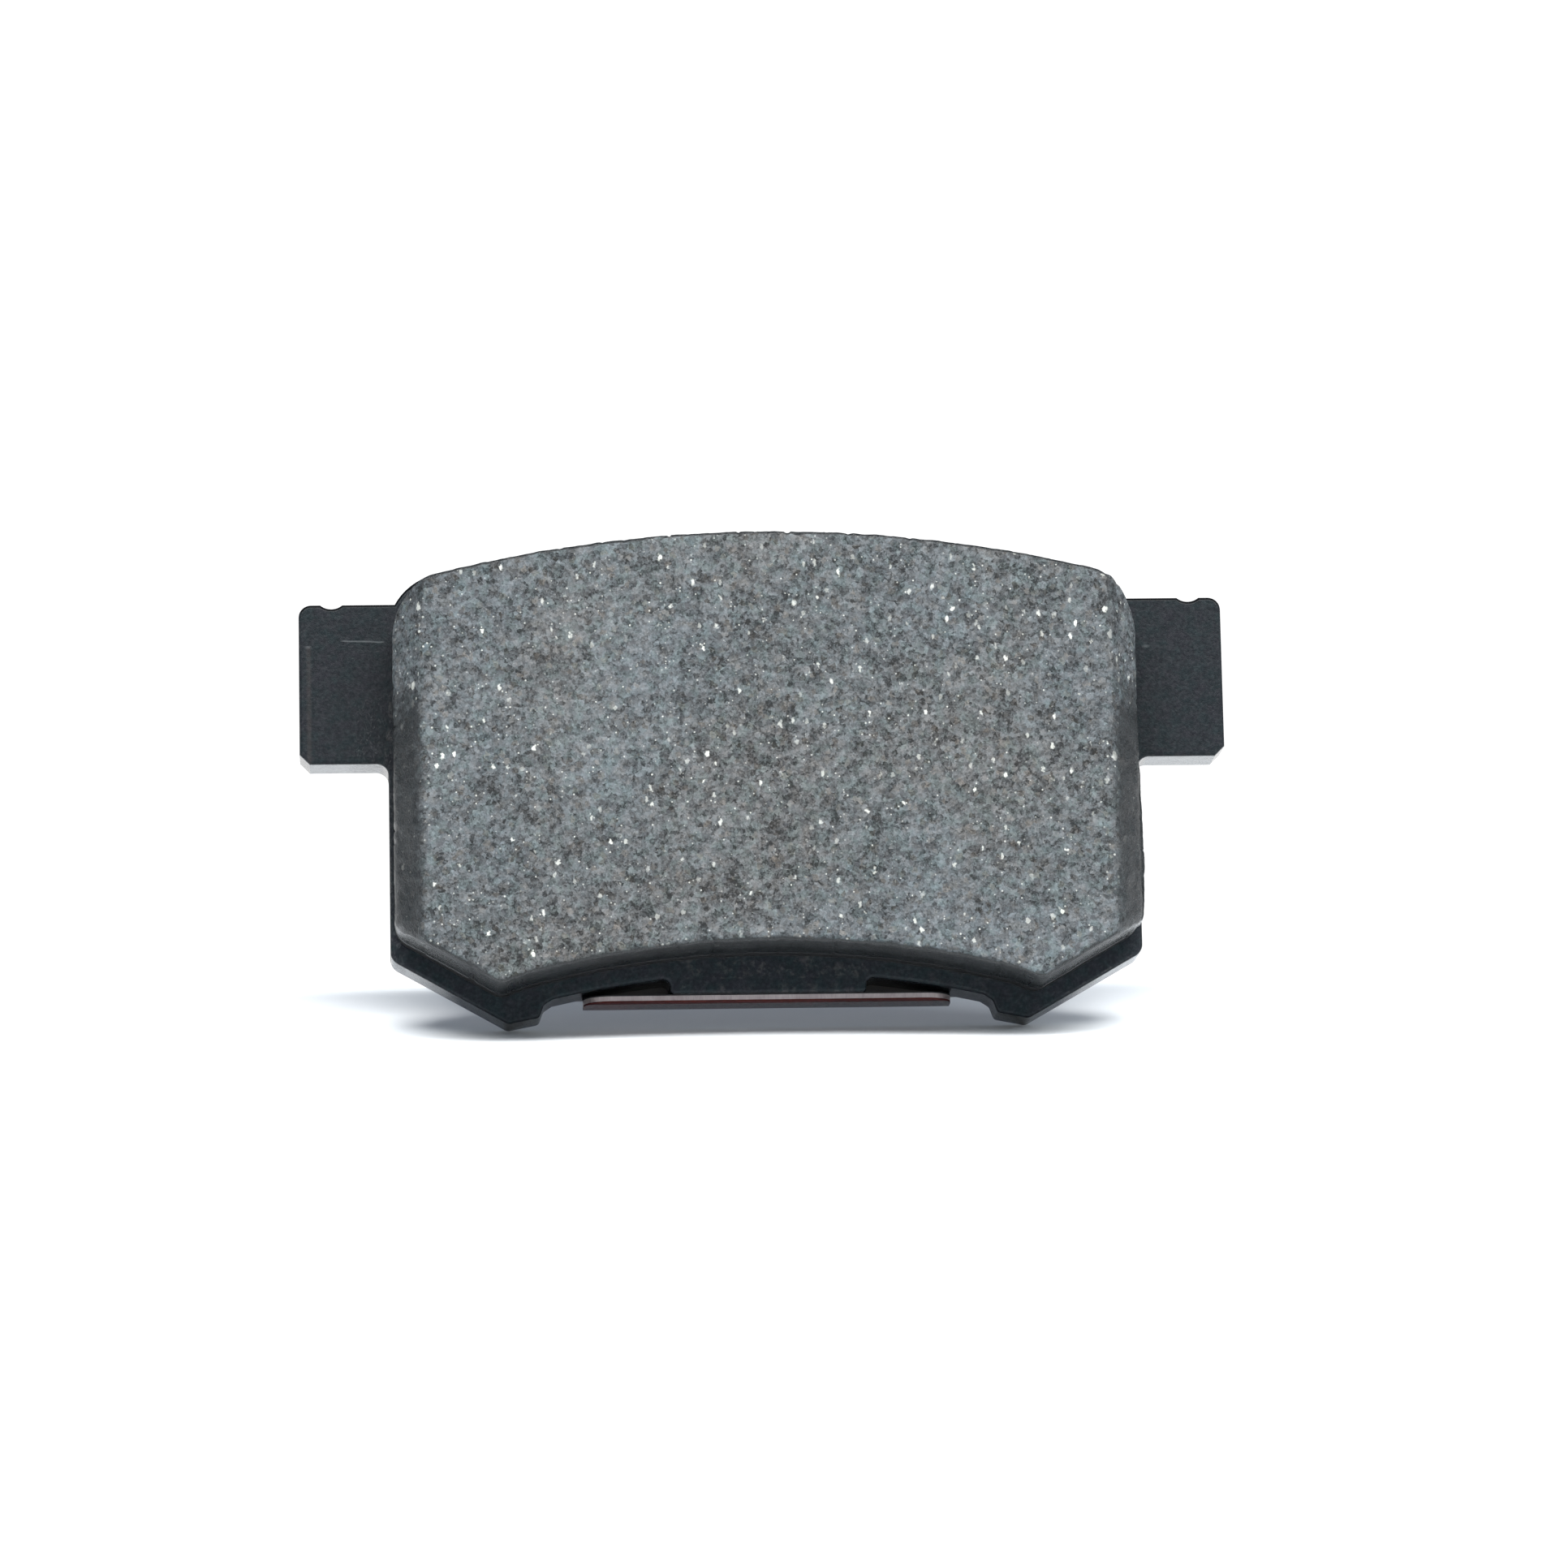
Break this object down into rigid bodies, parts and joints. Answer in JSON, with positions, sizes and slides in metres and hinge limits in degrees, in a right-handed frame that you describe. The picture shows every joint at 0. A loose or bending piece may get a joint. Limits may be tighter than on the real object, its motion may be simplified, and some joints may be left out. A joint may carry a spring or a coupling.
{
  "type": "disc brake pad",
  "caption": "Disc brake pad with a steel backing plate, guide ears, a composite friction lining with chamfered ends and a rubber-coated shim hooked under its lower edge.",
  "frame": {"origin": "bottom centre of the bounding box: on the symmetry plane, halfway through the pad's thickness, on the plane the two feet of the plate stand on", "axes": "+X along the pad from ear to ear, +Z radially outward from the disc's axle, -Y out of the friction face towards the disc"},
  "size_m": [0.089, 0.0154, 0.0477],
  "materials": {
    "plate_paint": "satin dark blue-grey paint on steel",
    "friction_mix": "ground granular composite with bright metal flecks",
    "underlayer_mix": "dark moulded composite",
    "adhesive": "cured phenolic adhesive film",
    "shim_steel": "bare sheared edge",
    "shim_rubber_inner": "matt black coat",
    "shim_rubber_outer": "matt dark red coat"
  },
  "bodies": {
    "root": {"backing_plate": "plate_paint", "bonding_adhesive_film": "adhesive", "underlayer_with_anchor_plugs": "underlayer_mix", "friction_lining": "friction_mix", "shim_adhesive_film": "adhesive", "shim_inner_rubber": "shim_rubber_inner", "shim_steel_core": "shim_steel", "shim_outer_rubber": "shim_rubber_outer"}
  },
  "joints": []
}
